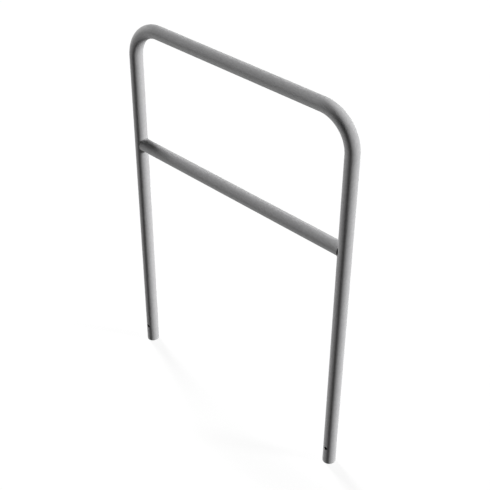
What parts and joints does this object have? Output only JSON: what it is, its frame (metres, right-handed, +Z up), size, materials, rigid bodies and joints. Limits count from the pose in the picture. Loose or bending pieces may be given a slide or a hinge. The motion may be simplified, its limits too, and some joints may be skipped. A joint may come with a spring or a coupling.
{
  "type": "hoop barrier",
  "caption": "Bent steel tube hoop with a welded crossbar, planted in the ground to keep vehicles and cycles off a path or verge.",
  "frame": {"origin": "midway between the two feet, on the plane of their sawn ends", "axes": "+X along the crossbar towards the right leg, +Z up the legs, +Y through the hoop from front to back"},
  "size_m": [1.0366, 0.0484, 1.45],
  "materials": {
    "galvanised_tube": "satin",
    "galvanised_weld": "satin"
  },
  "bodies": {
    "root": {"hoop_tube": "galvanised_tube", "crossbar": "galvanised_tube", "left_weld": "galvanised_weld", "right_weld": "galvanised_weld"}
  },
  "joints": []
}
